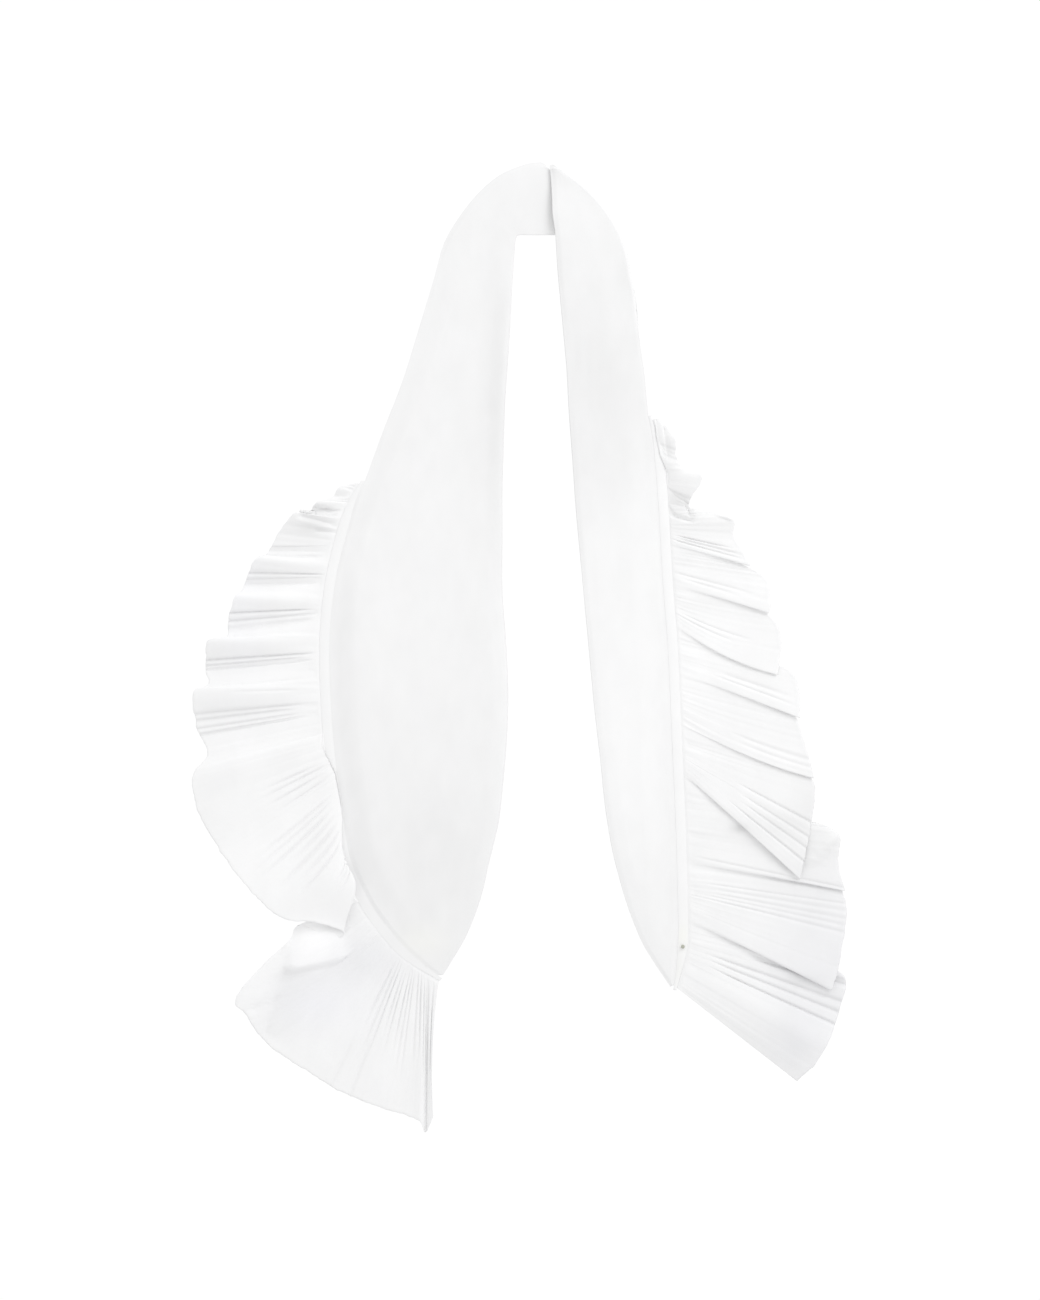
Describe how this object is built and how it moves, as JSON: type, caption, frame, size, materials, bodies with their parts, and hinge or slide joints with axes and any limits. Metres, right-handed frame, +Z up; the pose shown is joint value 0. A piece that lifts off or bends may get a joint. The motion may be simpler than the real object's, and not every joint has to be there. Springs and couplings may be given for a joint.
{
  "type": "ruffled tie",
  "caption": "White cotton neck tie laid flat: a plain neck stretch arches into a broad leaf-shaped end and a narrow leg, each edged with a gathered ruffle.",
  "frame": {"origin": "on the floor below the middle of the whole piece's box", "axes": "+Y along the piece from the tips of its legs towards the neck stretch, +X towards the narrow leg, +Z up from the floor that it lies on"},
  "size_m": [0.5606, 0.8335, 0.0142],
  "materials": {
    "panel_cotton": "white cotton poplin, matt, fine plain weave, two plies",
    "ruffle_cotton": "white cotton poplin, matt, gathered, one ply",
    "binding_cotton": "white cotton strip, smooth, pressed over the seam",
    "stud": "small grey bead, faintly glossy"
  },
  "bodies": {
    "root": {"left_panel": "panel_cotton", "right_panel": "panel_cotton", "left_ruffle": "ruffle_cotton", "right_ruffle": "ruffle_cotton", "left_seam_binding": "binding_cotton", "right_seam_binding": "binding_cotton", "seam_end_stud": "stud"}
  },
  "joints": []
}
